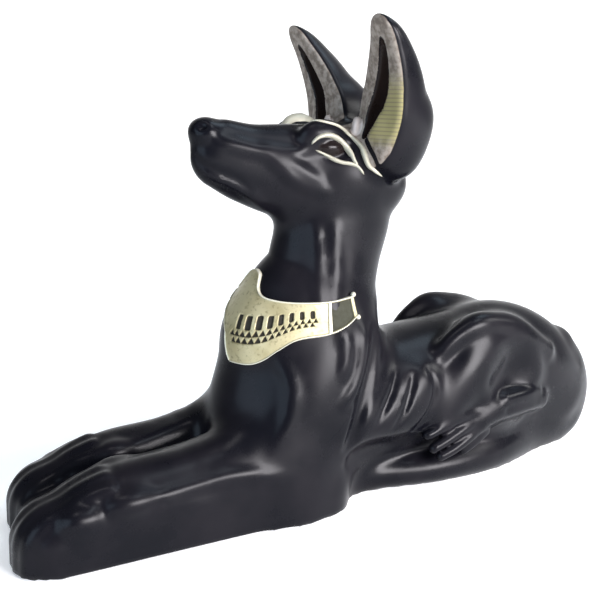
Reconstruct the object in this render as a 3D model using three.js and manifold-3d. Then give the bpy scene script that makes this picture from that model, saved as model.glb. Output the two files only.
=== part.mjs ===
import * as THREE from 'three';
import { edgeTable, triTable } from 'three/addons/objects/MarchingCubes.js';
import { mergeVertices } from 'three/addons/utils/BufferGeometryUtils.js';
import Module from 'manifold-3d';

// A recumbent jackal cast in one piece. Millimetres, +Z up. It faces -Y, its left side is +X,
// and it lies on its own flat underside.
const LENGTH = 264;
const COLLAR_RELIEF = 1.8;
const LINE_RELIEF = 0.9;
const GROOVE_DEPTH = 1.1;

// The pose and proportions are hundredths of the length, measured from the middle of the length.
const SHARE = LENGTH / 100;

// Stations of each form: centre x, y, z, then half width across x and radius in the YZ plane.
const TRUNK = [
  [0, -12, 12.1, 8.3, 9.1],
  [0, -5.2, 13.3, 9.5, 10.2],
  [0, 6.2, 13.6, 9.8, 9.8],
  [0, 20.5, 14.8, 8.7, 10.2],
  [0, 27.9, 15, 8.3, 11],
  [0, 34.9, 13.3, 7.6, 10.2],
  [0, 41.4, 9.5, 6.6, 8.7],
];
const NECK = [
  [0, -9.8, 11.4, 9.1, 12.9],
  [0, -8.6, 21.2, 8.7, 12.1],
  [0, -7.5, 26.5, 7.8, 10.9],
  [0, -6, 31.1, 6.8, 8.8],
  [0, -5, 36, 6.1, 8.5],
  [0, -3.9, 40.9, 5.9, 8.7],
  [0, -2.6, 44.7, 5.7, 7.6],
];
const MUZZLE = [
  [0, -3.7, 47.2, 5.3, 6.2],
  [0, -10.9, 47.2, 4.5, 6.4],
  [0, -17.3, 48.1, 3.4, 5.3],
  [0, -21.5, 49.4, 2.7, 4.5],
];
const EAR = [
  [6.05, 0, 51, 3.3, 2.7],
  [6.8, 0, 54.8, 4.85, 4.5],
  [7.8, 0, 58, 4.45, 3.8],
  [8.9, 0, 61, 3.75, 3.2],
  [9.8, 0, 63.4, 3, 2.6],
  [10.5, 0, 65.5, 2.4, 1.9],
  [10.9, 0, 66.8, 1.3, 1],
];
const UPPER_ARM = [
  [5.7, -5.2, 22.7, 3.6, 5.7],
  [5.9, -9, 15.9, 4.4, 7.2],
  [5.9, -12, 6.8, 4.5, 7.6],
  [5.9, -12.4, -1.5, 4.5, 7.6],
];
const ELBOW = [
  [6.8, -14.3, 4.5, 3.6, 3.8],
  [6.8, -8.2, 3, 3.6, 3.4],
];
const FORELEG = [
  [5.3, -12.8, 6.8, 5, 7.2],
  [5.3, -20.4, 6.1, 5, 7.7],
  [5.3, -27.9, 5.5, 4.9, 6.6],
  [5.3, -35.5, 5.5, 4.9, 5.9],
  [5.3, -40.1, 4.8, 4.9, 5.4],
  [5.3, -44.4, 3.4, 4.8, 4.8],
];
const PAW_WEB = [
  [0, -16, 3, 3, 5],
  [0, -31, 2, 3, 4.4],
  [0, -40, 2, 3, 3.8],
  [0, -46, 1.8, 3, 3.4],
];
const THIGH = [
  [6.8, 18.3, 18.2, 3, 5.3],
  [7.6, 14.5, 13.6, 2.7, 4.9],
  [8, 11.8, 10.2, 2.3, 3.4],
];
const HAUNCH_CREST = [
  [6.6, 12.4, 21, 1.4, 1.5],
  [7.1, 15, 23.2, 1.4, 1.5],
  [7.4, 18.3, 24.7, 1.5, 1.6],
  [7.2, 23, 24.4, 1.5, 1.6],
  [7, 26.6, 23.2, 1.4, 1.6],
  [6.8, 30, 21.2, 1.4, 1.6],
  [6.2, 34.5, 18.4, 1.4, 1.6],
];
const BASE = [
  [0, -11, 5, 8.5, 7],
  [0, 0, 6, 5.4, 6],
  [0, 10, 6, 5.6, 6],
  [0, 24, 6, 7.2, 6],
  [0, 36, 5, 4.8, 5],
  [0, 42, 4, 3.6, 4],
];
const HIND_FOOT = [
  [7.6, 28.1, 9.5, 2.3, 2.7],
  [8, 20.5, 9.5, 2.5, 2.7],
  [8.3, 13, 7.6, 2.7, 2.7],
  [8.3, 8.8, 6.1, 2.7, 2.3],
];
const TAIL = [
  [0, 43.7, 16.7, 2.7, 3],
  [0.4, 46.3, 12.9, 2.7, 3],
  [1.1, 47.1, 7.6, 2.8, 3],
  [1.5, 45.8, 3.4, 2.6, 2.8],
  [1.9, 41, 2.8, 2.4, 2.6],
  [3.2, 35, 2.7, 2.3, 2.5],
  [6.4, 24.3, 2.5, 2.3, 2.5],
  [6.8, 13, 2.3, 2.3, 2.3],
  [4.9, 3.1, 2.1, 2.1, 2.1],
  [3.8, -2.9, 1.9, 1.9, 1.9],
];

// Rounded masses: centre, then radii along x, y and z.
const SKULL = [[0, -2.2, 47], [6.1, 7.6, 6.4]];
const NOSE = [[0, -24.3, 52.3], [2.1, 1.9, 1.7]];
const BROW = [[3.6, -8.6, 52.3], [1.5, 3.4, 2.1]];
const NAPE = [[0, 2.2, 45.6], [5, 5, 4.4]];
const BREAST = [[0, -12.8, 25.6], [7, 7, 6]];
const HAUNCH = [[5.9, 22.8, 15.9], [4.2, 10.2, 10]];
const HIP = [[6.4, 19, 21.6], [2.7, 4.2, 4.4]];
const FLANK_HOLLOW = [[11.6, 26.8, 17], [3.2, 6, 5.2]];
const EAR_ROOT = [[6.6, 1.4, 53], [3.4, 4.6, 6.4]];
const EAR_HOLLOW = [[7.4, -2.3, 57.8], [1.6, 2, 6.2]];
const EAR_HOLLOW_LEAN = 9;
const EAR_HOLLOW_SPREAD = 23;

// An ear's own y is measured back from its face, which curves forward above a height. All that
// lies behind the face is drawn out.
const EAR_FACE = -2.35;
const EAR_FACE_HEIGHT = 54.5;
const EAR_FACE_CURVE = 0.025;
const EAR_DRAW = 1.78;

// The left forepaw lies a little ahead of the right one.
const LEFT_REACH = 1.3;
const RIGHT_REACH = -0.4;
const DRAWN_FROM = 28;
const DRAWN_BY = 40;

// The right haunch lies a little behind the left one.
const RIGHT_SET_BACK = 2;
const SET_BACK_WITHIN = 3;

// Carved lines on the surface, as x, y, z near the skin. Each is mirrored to the other side.
const UPPER_LID = [
  [4.8, -10.6, 51.6], [5.1, -8.6, 52.2], [4.8, -5.6, 51.5], [5.4, -4.4, 49.4], [6.2, -3.6, 47.4],
];
const LOWER_LID = [[4.7, -10.3, 51], [4.8, -8.2, 49.7], [5.4, -6, 49], [5.7, -4.1, 48.1]];
const BROW_LINE = [[4.2, -9.6, 54], [4.6, -8, 53.6], [4.6, -5.3, 52.7], [5.6, -3.4, 51], [7, -2.6, 48.6]];
const MOUTH = [[1, -25.8, 49.8], [2.6, -23, 49.2], [3.2, -18.8, 48.4], [4, -14.8, 46.9]];
const RIBS = [
  [[8, 3.3, 19.4], [9.4, 1.6, 16.4], [9.9, -0.6, 13]],
  [[8.8, 6, 18.6], [9.7, 4.9, 15.6], [9.9, 3, 12.6]],
  [[8.6, 8.6, 18.4], [9.6, 7.6, 15.6], [9.8, 6, 12.8]],
];
const TOE_GROOVES = [2.9, 5.3, 7.7];
const TOE_PIVOT = [-42.5, 1.5];
const TOE_SWEEP = [25, 45, 65, 85];

// The collar, as degrees round the neck from the front and heights.
const COLLAR_AXIS = -6.7;
const COLLAR_END = 105;
const NECKLINE = [
  [0, 33.9], [7, 33.6], [12, 32.1], [17, 31.1], [30, 30.8], [48, 30.7], [75, 30.6], [95, 30.8],
  [COLLAR_END, 31.3],
];
const HEM = [[0, 21.8], [20, 21.8], [31, 23.2], [51, 25.3], [72, 26.3], [92, 27.5], [COLLAR_END, 28.6]];

// Facets: the planes of the sampling grid, as [from, size of the cells that follow].
const GRID_X = [[-14.4, 1.6], [14.4]];
const GRID_Y = [[-51, 2], [-37, 3], [-27, 1.95], [7, 2.8], [53]];
const GRID_Z = [[-2, 2.4], [40, 2], [54, 1.5], [69]];
const COLLAR_STEPS = 30;
const COLLAR_ROWS = 4;
const RELAX_PASSES = 3;
const STEPS_PER_SPAN = 2;
const FAR_OUT = 14;

const shares = (list) => list.map((value) => value * SHARE);
const vector = (point) => new THREE.Vector3(...shares(point));

// Joins two distance values with a rounded fillet of about the given size.
function blend(a, b, fillet) {
  const size = fillet * SHARE;
  const overlap = Math.max(size - Math.abs(a - b), 0) / size;
  return Math.min(a, b) - overlap * overlap * size / 4;
}

function carve(a, b, fillet) {
  return -blend(-a, b, fillet);
}

// Signed distance to a limb that follows smooth stations. A grounded limb has a wall straight
// down from its centre line.
function limb(stations, grounded = false) {
  const smooth = (points) => new THREE.CatmullRomCurve3(points.map(vector), false, 'catmullrom');
  const centre = smooth(stations.map(([x, y, z]) => [x, y, z]));
  const girth = smooth(stations.map(([, , , width, radius]) => [width, radius, 0]));
  const steps = (stations.length - 1) * 4;
  const rings = [];
  for (let i = 0; i <= steps; i++) {
    const { x: width, y: radius } = girth.getPoint(i / steps);
    rings.push({ ...centre.getPoint(i / steps), width, radius });
  }
  return (x, y, z) => {
    let best = Infinity;
    for (let i = 0; i < steps; i++) {
      const a = rings[i];
      const b = rings[i + 1];
      const dx = b.x - a.x;
      const dy = b.y - a.y;
      const dz = b.z - a.z;
      const px = x - a.x;
      const py = y - a.y;
      const pz = z - a.z;
      const rise = grounded ? 0 : dz;
      const along = (px * dx + py * dy + pz * rise) / (dx * dx + dy * dy + rise * rise + 1e-9);
      const t = Math.min(Math.max(along, 0), 1);
      const width = a.width + (b.width - a.width) * t;
      const radius = a.radius + (b.radius - a.radius) * t;
      const up = pz - dz * t;
      const ex = (px - dx * t) / width;
      const ey = (py - dy * t) / (grounded ? width : radius);
      const ez = (grounded ? Math.max(up, 0) : up) / radius;
      const distance = (Math.sqrt(ex * ex + ey * ey + ez * ez) - 1) * Math.min(width, radius);
      best = Math.min(best, distance);
    }
    return best;
  };
}

// Signed distance to an ellipsoid.
function mass([centre, radii]) {
  const [cx, cy, cz] = shares(centre);
  const [rx, ry, rz] = shares(radii);
  return (x, y, z) => {
    const px = (x - cx) / rx;
    const py = (y - cy) / ry;
    const pz = (z - cz) / rz;
    const reach = Math.hypot(px, py, pz);
    return reach * (reach - 1) / (Math.hypot(px / rx, py / ry, pz / rz) + 1e-9);
  };
}

const trunk = limb(TRUNK);
const neck = limb(NECK);
const muzzle = limb(MUZZLE);
const skull = mass(SKULL);
const nose = mass(NOSE);
const brow = mass(BROW);
const ear = limb(EAR);
const earRoot = mass(EAR_ROOT);
const upperArm = limb(UPPER_ARM);
const elbow = limb(ELBOW, true);
const foreleg = limb(FORELEG, true);
const nape = mass(NAPE);
const breast = mass(BREAST);
const pawWeb = limb(PAW_WEB, true);
const haunch = mass(HAUNCH);
const hip = mass(HIP);
const flankHollow = mass(FLANK_HOLLOW);
const thigh = limb(THIGH);
const haunchCrest = limb(HAUNCH_CREST);
const base = limb(BASE, true);
const hindFoot = limb(HIND_FOOT);
const tail = limb(TAIL);

function headForm(x, y, z) {
  const side = Math.abs(x);
  let d = blend(skull(x, y, z), muzzle(x, y, z), 2.3);
  d = blend(d, nose(x, y, z), 1.1);
  return blend(d, brow(side, y, z), 1.5);
}

function earForm(side, y, z) {
  const above = Math.max(z / SHARE - EAR_FACE_HEIGHT, 0);
  const behind = y - (EAR_FACE - EAR_FACE_CURVE * above ** 2) * SHARE;
  const cup = carve(ear(side, behind / EAR_DRAW, z), behind, 2);
  return blend(cup, earRoot(side, y, z), 2);
}

// Each forepaw reaches its own distance: the leg is drawn out beyond the elbow.
function forelegForm(x, y, z) {
  const reach = (x > 0 ? LEFT_REACH : RIGHT_REACH) * SHARE;
  const drawn = THREE.MathUtils.smoothstep(-y, DRAWN_FROM * SHARE, DRAWN_BY * SHARE);
  return foreleg(Math.abs(x), y + reach * drawn, z);
}

function hindForm(d, x, y, z) {
  const side = Math.abs(x);
  const within = SET_BACK_WITHIN * SHARE;
  const own = y - RIGHT_SET_BACK * SHARE * THREE.MathUtils.smoothstep(-x, -within, within);
  let hind = blend(d, haunch(side, own, z), 2.3);
  hind = blend(hind, hip(side, own, z), 1.5);
  hind = carve(hind, flankHollow(side, own, z), 1.9);
  hind = blend(hind, haunchCrest(side, own, z), 1.2);
  hind = blend(hind, thigh(side, own, z), 1.9);
  return blend(hind, hindFoot(side, own, z), 1.9);
}

// The whole figure: below zero inside, above zero outside.
function jackal(x, y, z) {
  const side = Math.abs(x);
  let d = blend(trunk(x, y, z), base(x, y, z), 2.5);
  d = blend(d, neck(x, y, z), 3);
  d = blend(d, breast(x, y, z), 1.5);
  d = blend(d, headForm(x, y, z), 1.9);
  d = blend(d, nape(x, y, z), 1.5);
  d = blend(d, earForm(side, y, z), 1.9);
  d = blend(d, blend(upperArm(side, y, z), elbow(side, y, z), 1.5), 2.3);
  d = blend(d, forelegForm(x, y, z), 2.7);
  d = blend(d, pawWeb(x, y, z), 1.5);
  d = hindForm(d, x, y, z);
  return blend(d, tail(x, y, z), 2.3);
}

// Moves a point onto the skin along the steepest way.
function settle(point, form) {
  const e = 0.2;
  for (let pass = 0; pass < 3; pass++) {
    const { x, y, z } = point;
    const slope = new THREE.Vector3(
      form(x + e, y, z) - form(x - e, y, z),
      form(x, y + e, z) - form(x, y - e, z),
      form(x, y, z + e) - form(x, y, z - e),
    ).divideScalar(2 * e);
    const step = slope.multiplyScalar(form(x, y, z) / Math.max(slope.lengthSq(), 0.3));
    point.sub(step.clampLength(0, 2));
  }
  return point;
}

function planes(knots) {
  const list = [];
  for (let i = 0; i < knots.length - 1; i++) {
    const [from, size] = knots[i];
    const [to] = knots[i + 1];
    const count = Math.round((to - from) / size);
    for (let j = 0; j < count; j++) {
      list.push(from + (to - from) * j / count);
    }
  }
  list.push(knots.at(-1)[0]);
  return shares(list);
}

// Corners of a grid cell and the pairs of corners that its twelve edges join.
const CORNERS = [[0, 0, 0], [1, 0, 0], [1, 1, 0], [0, 1, 0], [0, 0, 1], [1, 0, 1], [1, 1, 1], [0, 1, 1]];
const EDGES = [
  [0, 1], [1, 2], [2, 3], [3, 0], [4, 5], [5, 6], [6, 7], [7, 4], [0, 4], [1, 5], [2, 6], [3, 7],
];

// Samples the form on a grid and joins where its sign changes into closed triangles.
function skin(form, xs, ys, zs) {
  const index = (i, j, k) => (i * ys.length + j) * zs.length + k;
  const values = new Float64Array(xs.length * ys.length * zs.length);
  xs.forEach((x, i) => ys.forEach((y, j) => zs.forEach((z, k) => {
    values[index(i, j, k)] = form(x, y, z);
  })));
  const points = [];
  const triangles = [];
  const known = new Map();

  const crossing = (a, b) => {
    const [start, end] = index(...a) < index(...b) ? [a, b] : [b, a];
    const key = index(...start) * values.length + index(...end);
    if (!known.has(key)) {
      const from = values[index(...start)];
      const t = THREE.MathUtils.clamp(from / (from - values[index(...end)]), 0.2, 0.8);
      const p = new THREE.Vector3(xs[start[0]], ys[start[1]], zs[start[2]]);
      known.set(key, points.length);
      points.push(p.lerp(new THREE.Vector3(xs[end[0]], ys[end[1]], zs[end[2]]), t));
    }
    return known.get(key);
  };

  for (let i = 0; i < xs.length - 1; i++) {
    for (let j = 0; j < ys.length - 1; j++) {
      for (let k = 0; k < zs.length - 1; k++) {
        const corners = CORNERS.map(([a, b, c]) => [i + a, j + b, k + c]);
        const bits = corners.map((corner, bit) => (values[index(...corner)] < 0 ? 1 << bit : 0));
        const code = bits.reduce((sum, bit) => sum + bit);
        if (edgeTable[code] === 0) continue;
        for (let n = code * 16; triTable[n] !== -1; n += 3) {
          for (const edge of [triTable[n + 2], triTable[n + 1], triTable[n]]) {
            const [a, b] = EDGES[edge];
            triangles.push(crossing(corners[a], corners[b]));
          }
        }
      }
    }
  }
  relax(points, triangles, form);
  return closedGeometry(points, triangles);
}

// Evens out the triangles: each point moves to the middle of its neighbours and back to the skin.
function relax(points, triangles, form) {
  const neighbours = points.map(() => new Set());
  for (let n = 0; n < triangles.length; n += 3) {
    const [a, b, c] = triangles.slice(n, n + 3);
    neighbours[a].add(b).add(c);
    neighbours[b].add(a).add(c);
    neighbours[c].add(a).add(b);
  }
  for (let pass = 0; pass < RELAX_PASSES; pass++) {
    const middles = neighbours.map((set) => {
      const middle = new THREE.Vector3();
      set.forEach((n) => middle.add(points[n]));
      return middle.divideScalar(set.size);
    });
    points.forEach((point, n) => settle(point.lerp(middles[n], 0.5), form));
  }
}

function closedGeometry(points, triangles) {
  const geometry = new THREE.BufferGeometry().setFromPoints(points);
  geometry.setIndex(triangles);
  return geometry;
}

const wasm = await Module();
wasm.setup();

function solid(geometry) {
  const bare = geometry.clone();
  bare.deleteAttribute('normal');
  bare.deleteAttribute('uv');
  const merged = mergeVertices(bare, 1e-4);
  return new wasm.Manifold(new wasm.Mesh({
    numProp: 3,
    vertProperties: new Float32Array(merged.attributes.position.array),
    triVerts: new Uint32Array(merged.index.array),
  }));
}

function toGeometry(manifold) {
  const { vertProperties, triVerts } = manifold.getMesh();
  const geometry = new THREE.BufferGeometry();
  geometry.setAttribute('position', new THREE.BufferAttribute(vertProperties, 3));
  geometry.setIndex(new THREE.BufferAttribute(triVerts, 1));
  geometry.computeVertexNormals();
  return geometry;
}

// A bar with a square section set on its edge, along a curve that follows the skin.
function lineBar(points, reach, steps) {
  const path = new THREE.CatmullRomCurve3(points);
  const section = new THREE.Shape([
    new THREE.Vector2(reach, 0),
    new THREE.Vector2(0, reach),
    new THREE.Vector2(-reach, 0),
    new THREE.Vector2(0, -reach),
  ]);
  return solid(new THREE.ExtrudeGeometry(section, { steps, bevelEnabled: false, extrudePath: path }));
}

// A carved line's own smooth course, laid on the skin all the way.
function linePoints(line, side) {
  const course = new THREE.CatmullRomCurve3(line.map(([x, y, z]) => vector([x * side, y, z])));
  return course.getPoints((line.length - 1) * STEPS_PER_SPAN).map((point) => settle(point, jackal));
}

// Where a ray that starts inside the figure leaves it.
function wayOut(start, direction) {
  let inner = 0;
  let outer = FAR_OUT * SHARE;
  for (let pass = 0; pass < 30; pass++) {
    const middle = (inner + outer) / 2;
    const { x, y, z } = start.clone().addScaledVector(direction, middle);
    if (jackal(x, y, z) < 0) {
      inner = middle;
    } else {
      outer = middle;
    }
  }
  return start.clone().addScaledVector(direction, inner);
}

function toeGroovePoints(across, side) {
  const start = vector([across * side, ...TOE_PIVOT]);
  return TOE_SWEEP.map((degrees) => {
    const angle = THREE.MathUtils.degToRad(degrees);
    return wayOut(start, new THREE.Vector3(0, -Math.sin(angle), Math.cos(angle)));
  });
}

// A height that changes with the angle round the neck.
function heightAt(table, angle) {
  const turn = Math.abs(angle);
  const next = Math.max(table.findIndex(([degrees]) => degrees >= turn), 1);
  const [fromAngle, from] = table[next - 1];
  const [toAngle, to] = table[next];
  return THREE.MathUtils.lerp(from, to, (turn - fromAngle) / (toAngle - fromAngle)) * SHARE;
}

// The collar stands off the neck and chest by its relief. Each section goes from inside the neck
// out to the hem, up the face and back in at the neckline.
function collar() {
  const points = [];
  for (let i = 0; i <= COLLAR_STEPS; i++) {
    const degrees = -COLLAR_END + 2 * COLLAR_END * i / COLLAR_STEPS;
    const angle = THREE.MathUtils.degToRad(degrees);
    const out = new THREE.Vector3(Math.sin(angle), -Math.cos(angle), 0);
    const hem = heightAt(HEM, degrees);
    const neckline = heightAt(NECKLINE, degrees);
    points.push(new THREE.Vector3(0, COLLAR_AXIS * SHARE, hem).addScaledVector(out, SHARE));
    for (let row = 0; row <= COLLAR_ROWS; row++) {
      const height = THREE.MathUtils.lerp(hem, neckline, row / COLLAR_ROWS);
      const axis = new THREE.Vector3(0, COLLAR_AXIS * SHARE, height);
      points.push(wayOut(axis, out).addScaledVector(out, COLLAR_RELIEF));
    }
    points.push(new THREE.Vector3(0, COLLAR_AXIS * SHARE, neckline).addScaledVector(out, SHARE));
  }
  const around = COLLAR_ROWS + 3;
  const triangles = [];
  for (let i = 0; i < COLLAR_STEPS; i++) {
    for (let side = 0; side < around; side++) {
      const a = i * around + side;
      const b = i * around + (side + 1) % around;
      triangles.push(a, a + around, b, b, a + around, b + around);
    }
  }
  const last = COLLAR_STEPS * around;
  for (let side = 1; side < around - 1; side++) {
    triangles.push(0, side, side + 1, last, last + side + 1, last + side);
  }
  return solid(closedGeometry(points, triangles));
}

// The deep hollow down the face of an ear.
function earHollow(side) {
  const [centre, radii] = EAR_HOLLOW;
  const geometry = new THREE.SphereGeometry(SHARE, 14, 10);
  geometry.rotateX(Math.PI / 2);
  geometry.scale(...radii);
  geometry.rotateX(THREE.MathUtils.degToRad(EAR_HOLLOW_LEAN));
  geometry.rotateY(THREE.MathUtils.degToRad(EAR_HOLLOW_SPREAD * side));
  const { x, y, z } = vector(centre);
  return solid(geometry.translate(x * side, y, z));
}

// The form is closed a little below the ground, and the ground then cuts it flat.
function figure() {
  const closed = (x, y, z) => Math.max(jackal(x, y, z), -z - SHARE);
  let body = solid(skin(closed, planes(GRID_X), planes(GRID_Y), planes(GRID_Z)));
  const ground = new THREE.BoxGeometry(LENGTH, 2 * LENGTH, LENGTH).translate(0, 0, -LENGTH / 2);
  body = body.subtract(solid(ground)).add(collar());
  for (const side of [-1, 1]) {
    body = body.subtract(earHollow(side));
    for (const line of [UPPER_LID, LOWER_LID, BROW_LINE]) {
      const points = linePoints(line, side);
      body = body.add(lineBar(points, LINE_RELIEF, points.length - 1));
    }
    for (const line of [MOUTH, ...RIBS]) {
      const points = linePoints(line, side);
      body = body.subtract(lineBar(points, GROOVE_DEPTH, points.length - 1));
    }
    for (const across of TOE_GROOVES) {
      body = body.subtract(lineBar(toeGroovePoints(across, side), GROOVE_DEPTH, TOE_SWEEP.length));
    }
  }
  return toGeometry(body);
}

const paint = new THREE.MeshStandardMaterial({ color: 0x16161c, roughness: 0.32, metalness: 0 });
const jackalFigure = new THREE.Mesh(figure(), paint);
jackalFigure.name = 'jackal_figure';

// The middle of the length stands over the origin.
jackalFigure.geometry.computeBoundingBox();
const { min, max } = jackalFigure.geometry.boundingBox;
jackalFigure.position.set(-(min.x + max.x) / 2, -(min.y + max.y) / 2, 0);

const part = new THREE.Group();
part.add(jackalFigure);

export default part;
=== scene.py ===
import math

import bpy
import numpy as np
from mathutils import Matrix, Vector


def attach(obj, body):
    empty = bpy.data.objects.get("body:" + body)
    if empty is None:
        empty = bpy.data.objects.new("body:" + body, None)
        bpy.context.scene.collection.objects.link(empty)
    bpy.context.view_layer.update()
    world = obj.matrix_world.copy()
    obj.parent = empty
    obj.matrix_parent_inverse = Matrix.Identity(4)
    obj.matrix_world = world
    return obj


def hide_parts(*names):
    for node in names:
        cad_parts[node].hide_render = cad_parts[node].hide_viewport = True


# A recumbent jackal cast in one piece, lacquered black with gold paint on its ears, eye lines and
# collar. Metres, +Z up. It faces -Y and its left side is +X. The form is one distance field, built
# up from limbs and rounded masses in hundredths of the length, and meshed where it is zero.
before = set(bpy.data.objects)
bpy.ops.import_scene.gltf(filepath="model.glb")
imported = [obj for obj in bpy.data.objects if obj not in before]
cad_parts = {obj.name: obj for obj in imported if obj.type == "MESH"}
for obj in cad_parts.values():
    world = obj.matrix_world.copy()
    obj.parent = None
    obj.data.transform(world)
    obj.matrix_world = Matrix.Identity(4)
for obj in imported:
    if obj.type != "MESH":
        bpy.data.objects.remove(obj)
bpy.context.view_layer.update()
NODE = "jackal_figure"

# Blender works in metres, and the form in hundredths of the figure's length.
LENGTH = 0.264
SHARE = LENGTH / 100
MM = 0.001 / SHARE

# The face of an ear: its place, how it curves forward above a height, and how deep an ear is drawn.
EAR_FACE = -2.35
EAR_FACE_CURVE = 0.025
EAR_FACE_HEIGHT = 54.5
EAR_DRAW = 1.78

# The left forepaw lies a little ahead of the right one. A foreleg is drawn out between two places.
LEFT_REACH = 1.3
RIGHT_REACH = -0.4
DRAWN_FROM = 28
DRAWN_BY = 40

# The right haunch lies a little behind the left one, and the change is spread across the middle.
RIGHT_SET_BACK = 2
SET_BACK_WITHIN = 3

# A form is measured this near to its own box, and beyond that it is simply far.
MEASURED_WITHIN = 3
FAR = 9.0


def smooth(low, high, value):
    """Rises gently from 0 at the low value to 1 at the high one."""
    t = np.clip((value - low) / (high - low), 0, 1)
    return t * t * (3 - 2 * t)


def blend(a, b, fillet):
    """Joins two distances with a rounded fillet of about the given size."""
    overlap = np.maximum(fillet - np.abs(a - b), 0)
    return np.minimum(a, b) - overlap * overlap / (4 * fillet)


def smooth_course(stations, steps):
    """A Catmull-Rom course through the stations, with the given steps in each span."""
    rows = np.array(stations, float)
    ends = [2 * rows[0] - rows[1], *rows, 2 * rows[-1] - rows[-2]]
    course = []
    for a, b, c, d in zip(ends, ends[1:], ends[2:], ends[3:]):
        for t in np.arange(steps) / steps:
            bend = 2 * a - 5 * b + 4 * c - d + t * (3 * (b - c) + d - a)
            course.append(b + 0.5 * t * (c - a + t * bend))
    return np.array([*course, rows[-1]], np.float32)


def on_left(points):
    """A copy of the points, with those of the right side mirrored."""
    moved = points.copy()
    moved[:, 0] = np.abs(points[:, 0])
    return moved


def facing(azimuth, elevation):
    """The way to a direction in degrees: azimuth 0 is ahead of the jackal and 90 is to its left."""
    a, e = math.radians(azimuth), math.radians(elevation)
    return math.sin(a) * math.cos(e), -math.cos(a) * math.cos(e), math.sin(e)


class Limb:
    """A limb along smooth stations. A grounded one has a wall straight down from its centre line."""

    def __init__(self, stations, grounded=False, steps=16):
        self.rings = smooth_course(stations, steps)
        self.grounded = grounded
        size = self.rings[:, [3, 4, 4]]
        self.low = (self.rings[:, :3] - size).min(0)
        self.high = (self.rings[:, :3] + size).max(0)
        if grounded:
            self.low[2] = -FAR

    def distance(self, points):
        """From the two spans on either side of the nearest ring."""
        axes = 2 if self.grounded else 3
        centres = self.rings[:, :axes]
        sizes = self.rings[:, [3, 3] if self.grounded else [3, 4, 4]]
        weights = np.concatenate([1 / sizes ** 2, -2 * centres / sizes ** 2], 1)
        powers = np.concatenate([points[:, :axes] ** 2, points[:, :axes]], 1)
        reach = powers @ weights.T + (centres ** 2 / sizes ** 2).sum(1)
        nearest = ((np.sqrt(np.maximum(reach, 0)) - 1) * sizes.min(1)).argmin(1)
        last = len(self.rings) - 1
        before = self.span(points, np.maximum(nearest - 1, 0))
        after = self.span(points, np.minimum(nearest, last - 1))
        return np.minimum(before, after)

    def span(self, points, start):
        a = self.rings[start]
        course = self.rings[start + 1] - a
        away = points - a[:, :3]
        axes = 2 if self.grounded else 3
        along = (away[:, :axes] * course[:, :axes]).sum(1)
        t = np.clip(along / ((course[:, :axes] ** 2).sum(1) + 1e-9), 0, 1)
        width = a[:, 3] + course[:, 3] * t
        radius = a[:, 4] + course[:, 4] * t
        away = away - course[:, :3] * t[:, None]
        up = np.maximum(away[:, 2], 0) if self.grounded else away[:, 2]
        deep = width if self.grounded else radius
        reach = np.sqrt((away[:, 0] / width) ** 2 + (away[:, 1] / deep) ** 2 + (up / radius) ** 2)
        return (reach - 1) * np.minimum(width, radius)


class Mass:
    """An ellipsoid."""

    def __init__(self, centre, radii):
        self.centre = np.array(centre, np.float32)
        self.radii = np.array(radii, np.float32)
        self.low = self.centre - self.radii
        self.high = self.centre + self.radii

    def distance(self, points):
        inner = (points - self.centre) / self.radii
        reach = np.linalg.norm(inner, axis=1)
        return reach * (reach - 1) / (np.linalg.norm(inner / self.radii, axis=1) + 1e-9)


class Panel:
    """A slab behind one flat face, with an outline given by its y and z corners in turn."""

    BEHIND = 6
    AHEAD = 2
    EDGE_FILLET = 1.6

    def __init__(self, place, azimuth, elevation, corners):
        self.place = np.array(place, np.float32)
        self.normal = np.array(facing(azimuth, elevation), np.float32)
        self.corners = np.array(corners, np.float32)
        self.low = np.array((self.place[0] - self.BEHIND, *self.corners.min(0)), np.float32)
        self.high = np.array((self.place[0] + self.AHEAD, *self.corners.max(0)), np.float32)

    def distance(self, points):
        best = (points - self.place) @ self.normal
        for corner, after in zip(self.corners, np.roll(self.corners, -1, axis=0)):
            course = (after - corner) / np.linalg.norm(after - corner)
            away = points[:, 1:] - corner
            past_edge = course[1] * away[:, 0] - course[0] * away[:, 1]
            best = -blend(-best, -past_edge, self.EDGE_FILLET)
        return best


class Clay:
    """Distances at a set of points to a form that is built up step by step."""

    def __init__(self, points, d=None):
        self.side = on_left(points)
        self.d = np.full(len(points), FAR, np.float32) if d is None else d

    def reach(self, form, points=None):
        """Distances to a form, which may be given as distances. Without points both sides are alike."""
        if isinstance(form, np.ndarray):
            return form
        points = self.side if points is None else points
        d = np.full(len(points), FAR, np.float32)
        low, high = form.low - MEASURED_WITHIN, form.high + MEASURED_WITHIN
        near = np.all((points > low) & (points < high), axis=1)
        d[near] = form.distance(points[near])
        return d

    def add(self, form, fillet, points=None):
        self.d = blend(self.d, self.reach(form, points), fillet)

    def cut(self, form, fillet, points=None):
        self.d = -blend(-self.d, self.reach(form, points), fillet)


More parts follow.
